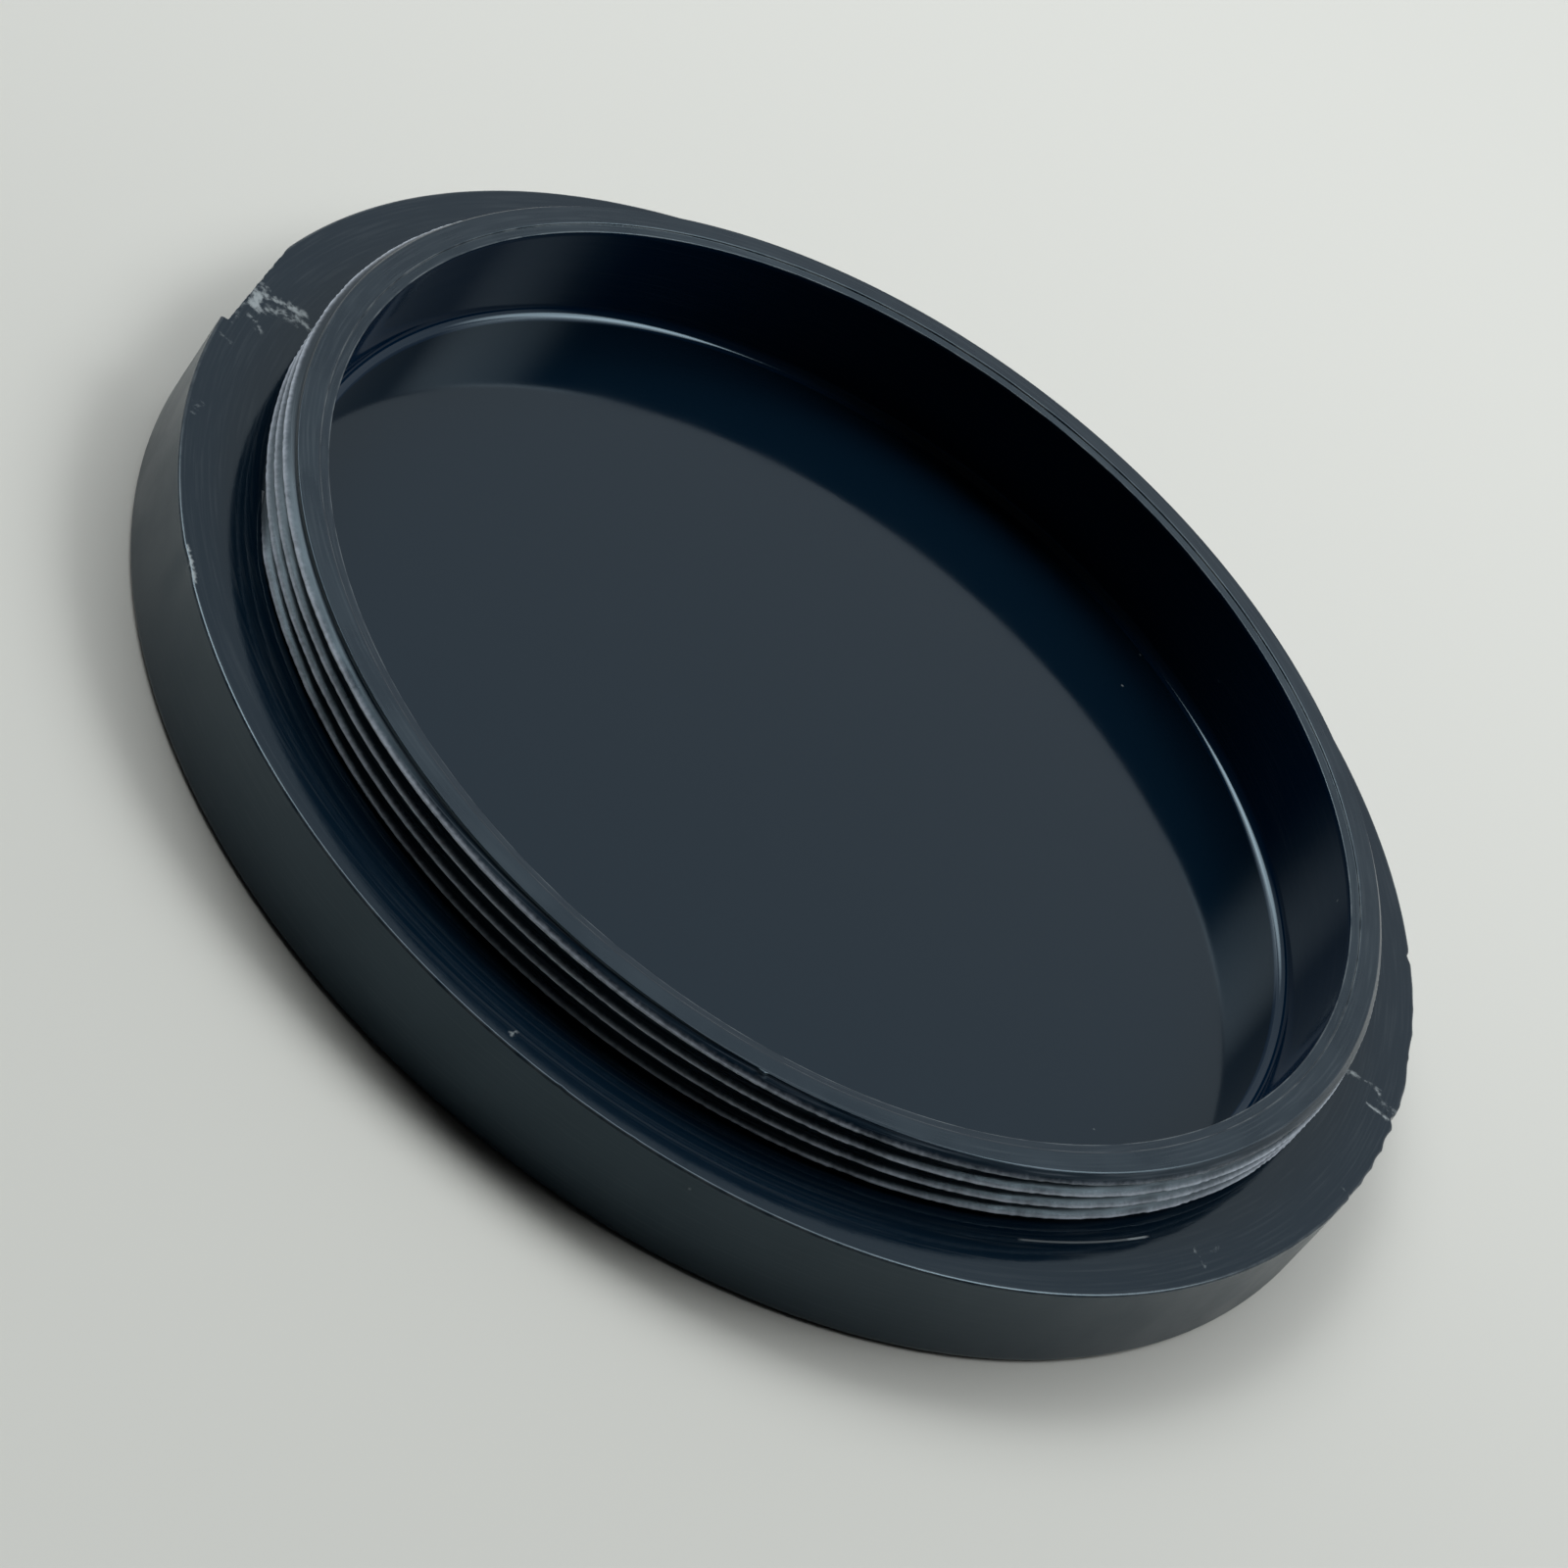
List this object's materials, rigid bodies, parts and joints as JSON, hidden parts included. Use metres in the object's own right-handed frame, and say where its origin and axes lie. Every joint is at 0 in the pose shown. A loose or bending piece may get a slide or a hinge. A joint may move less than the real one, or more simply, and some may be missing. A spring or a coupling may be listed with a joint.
{
  "type": "dust cap",
  "caption": "Screw-in plastic dust cap: a round flange with a threaded collar round a recessed floor, for closing a tube with a fine internal thread.",
  "frame": {"origin": "centre of the flat outer face, on which the cap stands", "axes": "+Z along the cap's axis, from the outer face towards the threaded collar; the mould's parting line lies on X, with the trimmed gate at -X"},
  "size_m": [0.0607, 0.0608, 0.0077],
  "materials": {
    "black_plastic": "smooth glossy moulded faces, satin outer edge"
  },
  "bodies": {
    "root": {"dust_cap": "black_plastic"}
  },
  "joints": []
}
